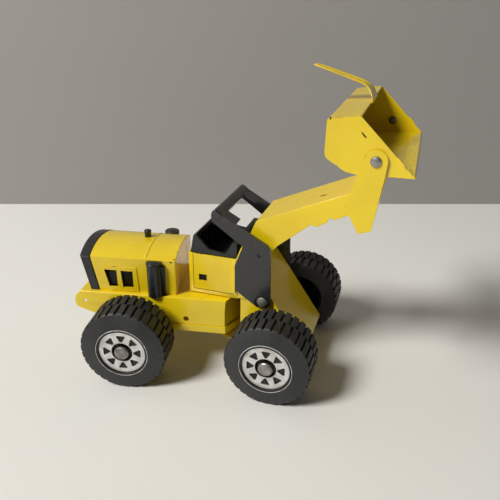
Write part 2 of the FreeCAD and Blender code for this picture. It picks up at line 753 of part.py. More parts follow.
# ---------------------------------------------------------------- boom, roll bar and bracket
def boom_rivets():
    """Headed rivets through the front chassis walls, one each side, that the roll bar turns on."""
    pair_of_turnings("boom_rivets", in_front, [
        ("frame_half - 2.4", "0"), ("frame_half - 2.4", "4.2"), ("frame_half - skin", "4.2"),
        ("frame_half - skin", "rivet_radius"), ("bar_outer + face_gap", "rivet_radius"),
        ("bar_outer + face_gap", "4.6"),
        ("bar_outer + 1.1", "4.6"), ("bar_outer + 1.6", "3.9"), ("bar_outer + 1.6", "0")],
        "boom_pivot_z", "boom_pivot_x")


def roll_bar():
    """The roll bar: a grip across two side plates with arms, gusset tabs, and bosses that hold the boom."""
    body = new_body("roll_bar")
    grip = new_sketch(body, "XZ_Plane")
    outline(grip, "grip", [(-60.9, 155.9), (-64.2, 149.9), (-56.9, 145.4), (-53.4, 151.2)])
    pad(body, grip, "2 * bar_outer")
    corners = [(-60.9, None, 155.9), (-64.2, None, 149.9), (-56.9, None, 145.4), (-53.4, None, 151.2)]
    rounded(body, "1.6", edges_near(body.Shape, (0, 1, 0), corners))
    for name, near, back in (("right", "bar_inner", False), ("left", "-bar_inner", True)):
        plate = new_sketch(body, "XZ_Plane", near)
        outline(plate, "bar_plate_" + name, [
            (-62.4, 154.4), (-63.8, 150.4), (-63.0, 144.6), (-58.4, 141.6), (-34.9, 125.1), (-41.8, 106.9),
            (-41.8, 82.0), (-21.3, 68.4), (-12.5, 68.4), (-9.6, 72.0), (-9.6, 77.9), (-11.0, 126.2),
            (-13.4, 129.2), (-28.8, 137.6), (-54.0, 151.6), (-60.9, 155.3)])
        pad(body, plate, "bar_outer - bar_inner", "One side", back)
        tab = new_sketch(body, "XZ_Plane", near)
        outline(tab, "gusset_" + name, [(-54.2, 151.3), (-54.9, 149.9), (-42.6, 143.2), (-41.8, 144.6)])
        pad(body, tab, "12", "One side", not back)
        boss = new_sketch(body, "XZ_Plane", near)
        circle(boss, "pin_x", "pin_z", "5")
        pad(body, boss, "bar_inner - boom_half", "One side", not back)
        disc = new_sketch(body, "XZ_Plane", "-bar_outer" if back else "bar_outer")
        circle(disc, "boom_pivot_x", "boom_pivot_z", "6.6")
        pocket(body, disc, "0.5", "One side", back)
    holes = new_sketch(body, "XZ_Plane")
    circle(holes, "boom_pivot_x", "boom_pivot_z", "rivet_radius + running_gap")
    circle(holes, "pin_x", "pin_z", "pin_radius")
    pocket(body, holes)
    in_front(body)


def boom_channel():
    """The boom: one folded channel, open below, from the roll bar to the bracket."""
    body = new_body("boom_channel")
    side = new_sketch(body, "XZ_Plane")
    outline(side, "boom_side", [
        (-26.5, 146.3), (-33.8, 128.5), (-28.0, 115.0), (-15.0, 112.5), (-11.0, 121.0), (-7.3, 125.9),
        (20.7, 149.5), (25.0, 147.8), (33.7, 153.0), (50.0, 161.2), (71.2, 169.9), (73.9, 190.4)])
    pad(body, side, "2 * boom_half")
    lower = [
        (-0.92, 0, 0.38), (-0.92, 0, -0.4), (-0.19, 0, -0.98), (0.9, 0, -0.42), (0.8, 0, -0.6),
        (0.65, 0, -0.76), (-0.37, 0, -0.93), (0.51, 0, -0.86), (0.45, 0, -0.89), (0.38, 0, -0.92),
        (0.99, 0, -0.13)]
    hollow(body, faces_towards(body.Shape, *lower))
    holes = new_sketch(body, "XZ_Plane")
    circle(holes, "pin_x", "pin_z", "pin_radius")
    circle(holes, "36.8", "154.4", "2.6")
    pocket(body, holes)
    in_front(body)


def boom_pin():
    """The steel pin through the roll bar's bosses and the boom's walls."""
    body = new_body("boom_pin")
    section = new_sketch(body, "XZ_Plane")
    circle(section, "pin_x", "pin_z", "pin_radius")
    pad(body, section, "2 * bar_inner + 3")
    in_front(body)


def bucket_bracket():
    """The bracket on the boom's end: a full-width web between two long ears."""
    body = new_body("bucket_bracket")
    web = new_sketch(body, "XZ_Plane")
    outline(web, "web", [(71.6, 169.8), (72.5, 170.1), (75.2, 190.9), (74.3, 190.9)])
    pad(body, web, "2 * bracket_half")
    for name, sign, back in (("right", "", False), ("left", "-", True)):
        near = sign + "(bracket_half - skin)"
        ear = new_sketch(body, "XZ_Plane", near)
        outline(ear, "ear_" + name, [
            (62.4, 222.0), (56.4, 199.3), (52.4, 185.2), (63.4, 166.4), (72.0, 169.2), (77.6, 209.5),
            (78.4, 220.4)])
        pad(body, ear, "skin", "One side", back)
        end = new_sketch(body, "XZ_Plane", near)
        circle(end, "bucket_pivot_x", "bucket_pivot_z", "8.0")
        pad(body, end, "skin", "One side", back)
    holes = new_sketch(body, "XZ_Plane")
    circle(holes, "bucket_pivot_x", "bucket_pivot_z", "bucket_rivet_radius")
    pocket(body, holes)
    in_front(body)


def bucket_rivets():
    """Headed rivets through the bracket's ears, one each side, that the bucket turns on."""
    pair_of_turnings("bucket_rivets", in_front, [
        ("bucket_half - skin - 1.6", "0"), ("bucket_half - skin - 1.4", "2.6"),
        ("bucket_half - skin - face_gap", "bucket_head_radius"),
        ("bucket_half - skin - face_gap", "bucket_rivet_radius"),
        ("bracket_half", "bucket_rivet_radius"), ("bracket_half", "bucket_head_radius"),
        ("bracket_half + 1.0", "3.4"), ("bracket_half + 1.8", "2.0"), ("bracket_half + 2.0", "0")],
        "bucket_pivot_z", "bucket_pivot_x")


# ---------------------------------------------------------------- bucket
BUCKET_SIDE = [(35.2, 245.7), (57.4, 249.0), (97.6, 210.0), (58.6, 209.0), (50.3, 210.2), (35.0, 219.4)]


def bucket_shell():
    """The bucket's wrapper: top, back, curved heel and floor in one bent sheet."""
    body = new_body("bucket_shell")
    side = new_sketch(body, "XZ_Plane")
    outline(side, "shell", BUCKET_SIDE)
    pad(body, side, "2 * (bucket_half - skin)")
    rounded(body, "9", edges_near(body.Shape, (0, 1, 0), [(50.3, None, 210.2)]))
    rounded(body, "6", edges_near(body.Shape, (0, 1, 0), [(35.0, None, 219.4)]))
    rounded(body, "2", edges_near(body.Shape, (0, 1, 0), [(35.2, None, 245.7)]))
    hollow(body, faces_towards(body.Shape, (0.7, 0, 0.7), (0, 1, 0), (0, -1, 0)))
    in_front(body)


def bucket_side(name, sign, back):
    """A side plate of the bucket, with the stop tab on its open edge."""
    body = new_body("bucket_side_" + name)
    near = sign + "(bucket_half - skin)"
    plate = new_sketch(body, "XZ_Plane", near)
    outline(plate, "bucket_side_" + name, BUCKET_SIDE)
    pad(body, plate, "skin", "One side", back)
    rounded(body, "9", edges_near(body.Shape, (0, 1, 0), [(50.3, None, 210.2)]))
    rounded(body, "6", edges_near(body.Shape, (0, 1, 0), [(35.0, None, 219.4)]))
    rounded(body, "2", edges_near(body.Shape, (0, 1, 0), [(35.2, None, 245.7)]))
    tab = new_sketch(body, "XZ_Plane", near)
    outline(tab, "tab_" + name, [(83.2, 222.0), (88.2, 217.1), (89.8, 218.7), (85.0, 223.5)])
    pad(body, tab, "skin", "One side", back)
    stop = new_sketch(body, "XZ_Plane", near)
    outline(stop, "stop_" + name, [(88.2, 218.9), (88.9, 218.2), (89.8, 218.7), (85.0, 223.5), (84.4, 222.7)])
    pad(body, stop, "skin + 1.9", "One side", back)
    holes = new_sketch(body, "XZ_Plane")
    circle(holes, "bucket_pivot_x", "bucket_pivot_z", "bucket_rivet_radius + running_gap")
    pocket(body, holes)
    in_front(body)


def cutting_edge():
    """The lip folded back on the floor's front edge, with a row of pressed tooth marks."""
    body = new_body("cutting_edge")
    strip = new_sketch(body, "XZ_Plane")
    outline(strip, "cutting_edge", [(86.5, 210.68), (97.0, 210.94), (96.2, 211.7), (86.7, 211.5)])
    pad(body, strip, "2 * (bucket_half - skin - 0.4)")
    in_front(body)


def bucket_lever():
    """The tipping lever: a tongue that laps under the top, hooks round its front edge and runs back."""
    body = new_body("bucket_lever")
    side = new_sketch(body, "XZ_Plane")
    outline(side, "lever", [
        (48.0, 245.6), (58.9, 247.2), (59.6, 248.5), (58.7, 250.3), (57.0, 254.9), (53.4, 259.4),
        (48.2, 262.2), (10.2, 273.8), (9.4, 272.6), (9.9, 271.8), (47.3, 260.3), (52.0, 257.6),
        (55.2, 253.8), (57.7, 249.4), (58.6, 248.4), (58.4, 248.0), (48.0, 246.5)])
    pad(body, side, "2 * lever_root_half")
    plan = new_sketch(body, "XY_Plane")
    for sign, name in (("", "left"), ("-", "right")):
        outline(plan, "lever_taper_" + name, [
            (5.0, sign + "lever_tip_half"), (9.0, sign + "lever_tip_half"), (14.0, sign + "(lever_half - 1)"),
            (46.0, sign + "lever_half"), (52.0, sign + "(lever_half + 2)"), (56.8, sign + "lever_root_half"),
            (56.8, sign + "(lever_root_half + 5)"), (5.0, sign + "(lever_root_half + 5)")])
    pocket(body, plan)
    in_front(body)


# ---------------------------------------------------------------- the whole machine
rear_frame()
rear_pan()
engine_hood()
hood_end_panel()
grille()
air_cleaner("left", "")
air_cleaner("right", "-")
exhaust_stub()
steering_rivet()
steering_sleeve()
front_frame()
cab_shell()
seat_tub()
boom_rivets()
roll_bar()
boom_channel()
boom_pin()
bucket_bracket()
bucket_rivets()
bucket_shell()
bucket_side("left", "-", True)
bucket_side("right", "", False)
cutting_edge()
bucket_lever()
for end, place, wall in (("rear", in_rear, "chassis_half + 0.1"), ("front", in_front, "frame_half + 0.1")):
    axle(end + "_axle", place)
    axle_caps(end + "_axle_caps", place)
    axle_sleeves(end + "_axle_sleeves", place, wall)
    for side, turned in (("left", 0), ("right", 180)):
        tyre(end + "_" + side, place, turned)
        wheel_core(end + "_" + side, place, turned)
        wheel_disc(end + "_" + side, place, turned)

doc.recompute()


def sub_parts():
    """Every body that is a piece by itself, and every pair."""
    paired = [link for pair in doc.Objects if pair.TypeId == "Part::Compound" for link in pair.Links]
    for item in doc.Objects:
        if item.TypeId == "Part::Compound" or (item.TypeId == "PartDesign::Body" and item not in paired):
            yield item


for item in doc.Objects:
    if "Invalid" in item.State or "Error" in item.State:
        raise RuntimeError("%s is %s" % (item.Label, item.State))

os.makedirs("parts", exist_ok=True)
for piece in sub_parts():
    shape = piece.Shape
    if shape.isNull() or not shape.isValid():
        raise RuntimeError(piece.Label + " has no valid shape")
    shape.exportStep(os.path.join("parts", piece.Label + ".step"))
    print("%-24s %2d solid(s) %10.1f mm3" % (piece.Label, len(shape.Solids), shape.Volume))
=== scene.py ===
# %% [markdown]
# # A toy front loader in pressed steel
#
# The model is a toy that bends in the middle: a hood on one steel chassis, a cab and a boom on another, and
# a bucket on the end. The design, with its sizes and joints, comes ready made as a fixed frame of named
# nodes. Blender's work is the finish: paint, plastic, tyres, soft edges and the small things that make
# sheet metal look folded rather than cut from a block.

# %% Load the fixed frame
import json
import math
import random

import bmesh
import bpy
from mathutils import Matrix, Vector


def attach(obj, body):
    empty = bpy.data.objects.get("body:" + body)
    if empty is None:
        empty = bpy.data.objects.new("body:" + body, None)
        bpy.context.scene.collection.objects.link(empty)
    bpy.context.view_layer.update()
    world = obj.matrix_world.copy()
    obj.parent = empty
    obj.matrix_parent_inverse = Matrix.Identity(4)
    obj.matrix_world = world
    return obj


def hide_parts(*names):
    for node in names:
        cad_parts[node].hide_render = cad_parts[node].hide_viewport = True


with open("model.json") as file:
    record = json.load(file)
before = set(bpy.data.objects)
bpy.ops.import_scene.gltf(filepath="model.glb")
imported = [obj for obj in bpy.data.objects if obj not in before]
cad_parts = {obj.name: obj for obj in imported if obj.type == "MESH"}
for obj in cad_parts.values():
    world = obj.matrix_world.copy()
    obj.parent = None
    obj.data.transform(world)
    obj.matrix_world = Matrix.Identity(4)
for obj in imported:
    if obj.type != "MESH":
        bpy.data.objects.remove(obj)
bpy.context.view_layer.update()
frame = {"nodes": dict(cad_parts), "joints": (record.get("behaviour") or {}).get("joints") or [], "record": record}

nodes = frame["nodes"]
joints = {joint["name"]: joint for joint in frame["joints"]}
print("nodes:", len(nodes), " joints:", sorted(joints))

# %% [markdown]
# ## Two working frames
#
# The front section stands turned to the right of the rear one. Drawing its pieces in the model's own frame
# would need a sine and a cosine in every number. Instead each section gets a frame of its own, taken from
# its axle's joint: x ahead, y to the left, z up from the ground. Pieces are drawn there in millimetres.

# %% Work out the section frames
MM = 0.001


def section_frame(joint_name):
    """Millimetres ahead of, left of and above the ground point under a joint, as a matrix."""
    joint = joints[joint_name]
    left = Vector(joint["axis"])
    up = Vector((0, 0, 1))
    ahead = left.cross(up)
    ground = Vector((joint["pos_m"][0], joint["pos_m"][1], 0))
    turn = Matrix((ahead, left, up)).transposed().to_4x4()
    return Matrix.Translation(ground) @ turn @ Matrix.Scale(MM, 4)


REAR = section_frame("rear_left_spin")
FRONT = section_frame("front_left_spin")
print("front section turned by", round(math.degrees(FRONT.to_euler().z), 2), "degrees")


# %% [markdown]
# ## Camera, floor and light
#
# A toy like this is looked down on. The camera stands to the right of it and a little behind its middle,
# tilted down by about 25 degrees, with a lens close to what the eye sees. The light is a large soft source
# above and to the left, a very weak one from the right, and a dim room all round for the gloss to reflect.
# A spot light would give hard shadows and small hot spots, which enamel shows badly.
#
# Blender's usual view of a scene greys bright strong colours, as film does. A toy's enamel is nearly as
# strong as a colour can be, so the plain display view is chosen, and the lights are kept low enough that
# nothing burns out.

# %% Camera
CAMERA_AT = Vector((58.8, -452.4, 319.0)) * MM
HEADING = math.radians(6.69)
TILT = math.radians(24.81)
ROLL = math.radians(0.84)
LENS = 39.45

view = Vector((-math.sin(HEADING) * math.cos(TILT), math.cos(HEADING) * math.cos(TILT), -math.sin(TILT)))
level = Vector((math.cos(HEADING), math.sin(HEADING), 0))
above = level.cross(view)
right = math.cos(ROLL) * level + math.sin(ROLL) * above
upright = right.cross(view)
camera_data = bpy.data.cameras.new("camera")
camera_data.lens = LENS
camera_data.sensor_width = 36
camera_data.clip_start = 0.01
camera = bpy.data.objects.new("camera", camera_data)
camera.matrix_world = Matrix.Translation(CAMERA_AT) @ Matrix((right, upright, -view)).transposed().to_4x4()
bpy.context.scene.collection.objects.link(camera)
bpy.context.scene.camera = camera
bpy.context.scene.view_settings.view_transform = "Standard"
print("camera at", [round(value, 3) for value in CAMERA_AT])


# %% Helpers for materials
def new_material(name):
    """A material with a Principled shader, and short ways to add and join nodes."""
    material = bpy.data.materials.new(name)
    material.use_nodes = True
    tree = material.node_tree
    return material, tree, tree.nodes["Principled BSDF"]


def add_node(tree, kind, label="", **settings):
    node = tree.nodes.new(kind)
    node.label = label
    for setting, value in settings.items():
        setattr(node, setting, value)
    return node


def join(tree, source, target):
    tree.links.new(source, target)


def mixed_colour(tree, factor, first, second):
    """A colour between two, by a factor socket. Each colour is a socket or four numbers."""
    node = add_node(tree, "ShaderNodeMix", data_type="RGBA")
    join(tree, factor, node.inputs["Factor"])
    for socket, colour in ((node.inputs[6], first), (node.inputs[7], second)):
        if isinstance(colour, tuple):
            socket.default_value = colour
        else:
            join(tree, colour, socket)
    return node.outputs[2]


def ranged(tree, source, low, high, from_low=0.0, from_high=1.0):
    """A value carried from one range to another, and held within it."""
    node = add_node(tree, "ShaderNodeMapRange")
    join(tree, source, node.inputs["Value"])
    for socket, value in zip(("From Min", "From Max", "To Min", "To Max"), (from_low, from_high, low, high)):
        node.inputs[socket].default_value = value
    return node.outputs["Result"]


# %% Floor and backdrop
def stage_sheet(name, corners, colour, see_through_behind=False):
    mesh = bpy.data.meshes.new(name)
    mesh.from_pydata(corners, [], [(0, 1, 2, 3)])
    sheet = bpy.data.objects.new(name, mesh)
    bpy.context.scene.collection.objects.link(sheet)
    material, tree, shader = new_material(name)
    place = add_node(tree, "ShaderNodeTexCoord")
    cloud = add_node(tree, "ShaderNodeTexNoise", "uneven paint")
    cloud.inputs["Scale"].default_value = 4.0
    cloud.inputs["Detail"].default_value = 6.0
    join(tree, place.outputs["Object"], cloud.inputs["Vector"])
    darker = tuple(0.93 * value for value in colour[:3]) + (1,)
    join(tree, mixed_colour(tree, cloud.outputs["Fac"], darker, colour), shader.inputs["Base Color"])
    shader.inputs["Roughness"].default_value = 0.55
    if see_through_behind:
        clear = add_node(tree, "ShaderNodeBsdfTransparent")
        side = add_node(tree, "ShaderNodeNewGeometry")
        choice = add_node(tree, "ShaderNodeMixShader")
        join(tree, side.outputs["Backfacing"], choice.inputs["Fac"])
        join(tree, shader.outputs["BSDF"], choice.inputs[1])
        join(tree, clear.outputs["BSDF"], choice.inputs[2])
        join(tree, choice.outputs["Shader"], tree.nodes["Material Output"].inputs["Surface"])
    mesh.materials.append(material)
    return sheet


FLOOR_REACH = 4.0
WALL_AT = 0.4245
WALL_SKEW = 0.161 * FLOOR_REACH
stage_sheet("floor", [(-FLOOR_REACH, -FLOOR_REACH, 0), (FLOOR_REACH, -FLOOR_REACH, 0),
                      (FLOOR_REACH, FLOOR_REACH, 0), (-FLOOR_REACH, FLOOR_REACH, 0)], (0.86, 0.85, 0.81, 1))
stage_sheet("wall", [(-FLOOR_REACH, WALL_AT - WALL_SKEW, 0), (FLOOR_REACH, WALL_AT + WALL_SKEW, 0),
                     (FLOOR_REACH, WALL_AT + WALL_SKEW, 3), (-FLOOR_REACH, WALL_AT - WALL_SKEW, 3)],
            (0.36, 0.345, 0.33, 1), see_through_behind=True)


# %% Lights
def soft_light(name, at, aim, across, power, colour=(1, 1, 1)):
    data = bpy.data.lights.new(name, "AREA")
    data.shape = "DISK"
    data.size = across
    data.energy = power
    data.color = colour
    light = bpy.data.objects.new(name, data)
    light.location = at
    light.rotation_euler = (Vector(aim) - Vector(at)).to_track_quat("-Z", "Y").to_euler()
    bpy.context.scene.collection.objects.link(light)
    return light


MIDDLE = (0, 0, 0.12)
soft_light("key", (-2.21, -1.80, 2.88), MIDDLE, 1.30, 162.0, (1.0, 0.985, 0.955))
soft_light("fill", (0.5, -1.3, 0.8), MIDDLE, 0.9, 0.2)
world = bpy.data.worlds.new("room")
world.use_nodes = True
world.node_tree.nodes["Background"].inputs["Color"].default_value = (0.80, 0.80, 0.80, 1)
world.node_tree.nodes["Background"].inputs["Strength"].default_value = 0.045
bpy.context.scene.world = world
print("lights:", [item.name for item in bpy.data.lights])


# %% [markdown]
# ## Shared surface effects
#
# Real finishes are never even. Three effects turn up on almost every piece of this toy, so each is made
# once as a node group and placed in the materials with its own values: wear along edges, smudges that
# change the gloss, and a fine moulded or sprayed texture. The groups only put out masks and heights. The
# shader itself stays in each material, where the constants that never change are set on its own sockets.

# %% Group: wear along edges
def new_group(name, inputs, outputs):
    group = bpy.data.node_groups.new(name, "ShaderNodeTree")
    for label, value in inputs:
        socket = group.interface.new_socket(label, in_out="INPUT", socket_type="NodeSocketFloat")
        socket.default_value = value
    for label in outputs:
        group.interface.new_socket(label, in_out="OUTPUT", socket_type="NodeSocketFloat")
    return group, group.nodes.new("NodeGroupInput"), group.nodes.new("NodeGroupOutput")


def maths(tree, operation, first, second=None):
    """One sum. Each side is a socket or a number."""
    node = add_node(tree, "ShaderNodeMath", operation=operation)
    for socket, value in zip(node.inputs, (first, second)):
        if value is None:
            continue
        if isinstance(value, (int, float)):
            socket.default_value = value
        else:
            join(tree, value, socket)
    return node.outputs[0]


def noise(tree, scale, detail, label):
    """Noise that stays with the piece as it moves. The scale is in features a metre."""
    place = add_node(tree, "ShaderNodeTexCoord")
    node = add_node(tree, "ShaderNodeTexNoise", label)
    node.inputs["Detail"].default_value = detail
    if isinstance(scale, (int, float)):
        node.inputs["Scale"].default_value = scale
    else:
        join(tree, scale, node.inputs["Scale"])
    join(tree, place.outputs["Object"], node.inputs["Vector"])
    return node.outputs["Fac"]


def edge_wear_group():
    """Finds edges by comparing the true normal with a rounded one, and breaks them up with noise."""
    group, given, result = new_group(
        "edge wear", [("Reach", 0.001), ("Amount", 0.5), ("Scale", 150.0)], ["Chips", "Edge"])
    bevel = add_node(group, "ShaderNodeBevel", "rounded normal", samples=6)
    join(group, given.outputs["Reach"], bevel.inputs["Radius"])
    true = add_node(group, "ShaderNodeNewGeometry")
    turn = add_node(group, "ShaderNodeVectorMath", operation="DOT_PRODUCT")
    join(group, bevel.outputs["Normal"], turn.inputs[0])
    join(group, true.outputs["True Normal"], turn.inputs[1])
    edge = ranged(group, maths(group, "SUBTRACT", 1.0, turn.outputs["Value"]), 0, 1, 0.01, 0.12)
    broken = noise(group, given.outputs["Scale"], 5.0, "where paint gave way")
    reach = maths(group, "MULTIPLY", edge, given.outputs["Amount"])
    level = maths(group, "ADD", maths(group, "SUBTRACT", broken, 1.0), reach)
    join(group, ranged(group, level, 0, 1, 0.0, 0.03), result.inputs["Chips"])
    join(group, edge, result.inputs["Edge"])
    return group


EDGE_WEAR = edge_wear_group()


# %% Group: smudges and dust
def smudge_group():
    """Slow patches from handling, and small specks of dust."""
    group, given, result = new_group(
        "smudges", [("Scale", 30.0), ("Speck Scale", 900.0)], ["Patches", "Specks"])
    slow = noise(group, given.outputs["Scale"], 4.0, "handling")
    join(group, ranged(group, slow, 0, 1, 0.35, 0.65), result.inputs["Patches"])
    fine = noise(group, given.outputs["Speck Scale"], 1.0, "dust")
    join(group, ranged(group, fine, 0, 1, 0.70, 0.78), result.inputs["Specks"])
    return group


def texture_group():
    """Height for a sprayed or moulded surface: a soft ripple and a finer grain."""
    group, given, result = new_group("fine texture", [("Ripple", 300.0), ("Grain", 2500.0)], ["Height"])
    ripple = noise(group, given.outputs["Ripple"], 1.0, "ripple")
    grain = noise(group, given.outputs["Grain"], 2.0, "grain")
    weaker = maths(group, "MULTIPLY", grain, 0.35)
    join(group, maths(group, "ADD", ripple, weaker), result.inputs["Height"])
    return group


SMUDGES = smudge_group()
TEXTURE = texture_group()
print("groups:", [group.name for group in bpy.data.node_groups])


# %% Helpers that place the groups
def place_group(tree, group, **values):
    node = add_node(tree, "ShaderNodeGroup")
    node.node_tree = group
    for label, value in values.items():
        node.inputs[label.replace("_", " ")].default_value = value
    return node


def bumped(tree, shader, height, depth, strength=1.0):
    """Turns a height into a normal on the shader. The depth is in metres."""
    bump = add_node(tree, "ShaderNodeBump")
    bump.inputs["Distance"].default_value = depth
    bump.inputs["Strength"].default_value = strength
    join(tree, height, bump.inputs["Height"])
    join(tree, bump.outputs["Normal"], shader.inputs["Normal"])


# %% [markdown]
# ## Enamel
#
# The steel is stoved in a thick, glossy yellow enamel. Thick enamel flows: it has a faint ripple like
# orange peel, and a clear depth to its shine, which a coat over the base colour gives. Where sheet edges
# knock against things it chips to dark primer and bare steel. Plain yellow with a high gloss would look
# like plastic, so the chips, a slow drift in the colour and patches of dulled gloss carry most of the
# likeness.

# %% Enamels
def enamel(name, light, deep, chip, roughness, reach, amount):
    material, tree, shader = new_material(name)
    smudges = place_group(tree, SMUDGES, Scale=22.0, Speck_Scale=1400.0)
    wear = place_group(tree, EDGE_WEAR, Reach=reach, Amount=amount, Scale=170.0)
    paint = mixed_colour(tree, smudges.outputs["Patches"], light, deep)
    dusty = mixed_colour(tree, ranged(tree, smudges.outputs["Specks"], 0, 0.35), paint, (0.42, 0.36, 0.22, 1))
    join(tree, mixed_colour(tree, wear.outputs["Chips"], dusty, chip), shader.inputs["Base Color"])
    gloss = ranged(tree, smudges.outputs["Patches"], roughness, roughness + 0.10)
    rough = maths(tree, "ADD", gloss, maths(tree, "MULTIPLY", wear.outputs["Chips"], 0.35))
    join(tree, rough, shader.inputs["Roughness"])
    join(tree, ranged(tree, wear.outputs["Chips"], 0.4, 0.0), shader.inputs["Coat Weight"])
    shader.inputs["Coat Roughness"].default_value = 0.06
    shader.inputs["IOR"].default_value = 1.52
    texture = place_group(tree, TEXTURE, Ripple=420.0, Grain=1800.0)
    chip_depth = maths(tree, "MULTIPLY", wear.outputs["Chips"], 3.0)
    dent = maths(tree, "SUBTRACT", texture.outputs["Height"], chip_depth)
    bumped(tree, shader, dent, 0.00001, 0.6)
    return material


yellow_enamel = enamel("yellow_enamel", (0.87, 0.64, 0.008, 1), (0.80, 0.57, 0.006, 1),
                       (0.035, 0.026, 0.02, 1), 0.20, 0.0011, 0.405)
black_enamel = enamel("black_enamel", (0.009, 0.009, 0.010, 1), (0.014, 0.015, 0.016, 1),
                      (0.16, 0.15, 0.14, 1), 0.24, 0.0008, 0.42)

# %% [markdown]
# ## Plastics, tyres and bare metal
#
# The grille, air cleaners, stub and seat are one black moulding plastic with a satin skin. The tyres are a
# hard dull plastic that has gone grey with dust, lightest on the tread bars that touch the floor. The wheel
# discs are bright foil-like metal with fine scratches, and the rivets and axle caps are dull plate with
# dark stains.

# %% Plastics
def moulded(name, dark, light, roughness, depth, worn):
    material, tree, shader = new_material(name)
    smudges = place_group(tree, SMUDGES, Scale=45.0, Speck_Scale=1100.0)
    wear = place_group(tree, EDGE_WEAR, Reach=0.0008, Amount=0.5, Scale=300.0)
    base = mixed_colour(tree, smudges.outputs["Patches"], dark, light)
    rubbed = ranged(tree, wear.outputs["Edge"], 0, worn)
    scuffed = mixed_colour(tree, rubbed, base, tuple(2.6 * value for value in light[:3]) + (1,))
    dust = ranged(tree, smudges.outputs["Specks"], 0, 0.5)
    join(tree, mixed_colour(tree, dust, scuffed, (0.24, 0.23, 0.21, 1)), shader.inputs["Base Color"])
    join(tree, ranged(tree, smudges.outputs["Patches"], roughness, roughness + 0.12), shader.inputs["Roughness"])
    texture = place_group(tree, TEXTURE, Ripple=900.0, Grain=3500.0)
    bumped(tree, shader, texture.outputs["Height"], depth, 0.7)
    return material


black_plastic = moulded(
    "black_plastic", (0.008, 0.009, 0.010, 1), (0.016, 0.018, 0.019, 1), 0.24, 0.00002, 0.30)
wheel_plastic = moulded(
    "wheel_plastic", (0.003, 0.003, 0.003, 1), (0.006, 0.006, 0.006, 1), 0.50, 0.00002, 0.05)
tyre_plastic = moulded(
    "tyre_plastic", (0.014, 0.015, 0.016, 1), (0.027, 0.028, 0.029, 1), 0.48, 0.00005, 0.30)


# %% Metals
def bare_metal(name, bright, stained, roughness, grain):
    material, tree, shader = new_material(name)
    smudges = place_group(tree, SMUDGES, Scale=120.0, Speck_Scale=1500.0)
    wear = place_group(tree, EDGE_WEAR, Reach=0.0006, Amount=0.4, Scale=400.0)
    tone = mixed_colour(tree, smudges.outputs["Patches"], bright, stained)
    join(tree, mixed_colour(tree, wear.outputs["Chips"], tone, stained), shader.inputs["Base Color"])
    join(tree, ranged(tree, smudges.outputs["Patches"], 0.92, 0.78), shader.inputs["Metallic"])
    join(tree, ranged(tree, smudges.outputs["Patches"], roughness, roughness + 0.2), shader.inputs["Roughness"])
    texture = place_group(tree, TEXTURE, Ripple=1200.0, Grain=grain)
    bumped(tree, shader, texture.outputs["Height"], 0.00002, 0.6)
    return material


bright_disc = bare_metal("bright_disc", (0.80, 0.80, 0.79, 1), (0.60, 0.59, 0.57, 1), 0.34, 5000.0)
plain_steel = bare_metal("plain_steel", (0.40, 0.39, 0.37, 1), (0.20, 0.185, 0.165, 1), 0.40, 3000.0)
FINISHES = {
    "yellow_enamel": yellow_enamel, "black_enamel": black_enamel, "black_plastic": black_plastic,
    "wheel_plastic": wheel_plastic, "tyre_plastic": tyre_plastic, "bright_disc": bright_disc,
    "plain_steel": plain_steel}
print("materials:", sorted(FINISHES))


# %% [markdown]
# ## Dressing the nodes that stay
#
# Most of the sheet metal already has its true shape, so those nodes stay and get a finish. They arrive as
# triangles with knife-sharp edges, and a knife edge catches no light. A short stack of modifiers mends
# that: Weld joins the split corners, Decimate dissolves the triangles back into flat faces, Bevel rounds
# every sharp edge a little, and Weighted Normal keeps the large faces flat. The meshes themselves aren't
# touched.

# %% Soft edges for a node or piece
def soften(item, width, segments=2, from_triangles=False):
    """Rounds the sharp edges by a width in millimetres."""
    if from_triangles:
        weld = item.modifiers.new("join corners", "WELD")
        weld.merge_threshold = 0.000002
        flat = item.modifiers.new("flat faces", "DECIMATE")
        flat.decimate_type = "DISSOLVE"
        flat.angle_limit = math.radians(0.6)
    bevel = item.modifiers.new("soft edges", "BEVEL")
    bevel.width = width * MM
    bevel.segments = segments
    bevel.limit_method = "ANGLE"
    bevel.angle_limit = math.radians(32)
    bevel.harden_normals = False
    normals = item.modifiers.new("flat shading", "WEIGHTED_NORMAL")
    normals.keep_sharp = False
    normals.weight = 60


EDGE_WIDTHS = {
    "grille": 0.5, "seat_tub": 0.6, "roll_bar": 0.5, "air_cleaner_left": 0.4, "air_cleaner_right": 0.4,
    "exhaust_stub": 0.3, "engine_hood": 0.45, "cab_shell": 0.4, "wheel_disc": 0.16, "wheel_core": 0.3}
slots = {part["node"]: part["material_slot"] for part in frame["record"]["subparts"]}
PAINTED_OVER = {"boom_pin": "black_enamel"}
for name, node in nodes.items():
    node.data.materials.clear()
    node.data.materials.append(FINISHES[PAINTED_OVER.get(name, slots[name])])
    family = next((family for family in EDGE_WIDTHS if name.startswith(family)), None)
    soften(node, EDGE_WIDTHS.get(family, 0.4), 2, from_triangles=True)
print("dressed", len(nodes), "nodes")


# %% [markdown]
# ## Making pieces
#
# New pieces are drawn as points and faces in a section's own frame and carried into the model by its
# matrix. Round ones are turned from a profile, as on a lathe.

# %% Helpers for new pieces
def piece_from(name, points, faces, place, body, slot_name, material=None):
    mesh = bpy.data.meshes.new(name)
    mesh.from_pydata([tuple(point) for point in points], [], faces)
    build = bmesh.new()
    build.from_mesh(mesh)
    bmesh.ops.remove_doubles(build, verts=build.verts, dist=0.001)
    bmesh.ops.recalc_face_normals(build, faces=build.faces)
    build.to_mesh(mesh)
    build.free()
    mesh.transform(place)
    mesh.shade_smooth()
    piece = bpy.data.objects.new(name, mesh)
    bpy.context.scene.collection.objects.link(piece)
    mesh.materials.append(material or FINISHES[slot_name])
    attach(piece, body)
    return piece


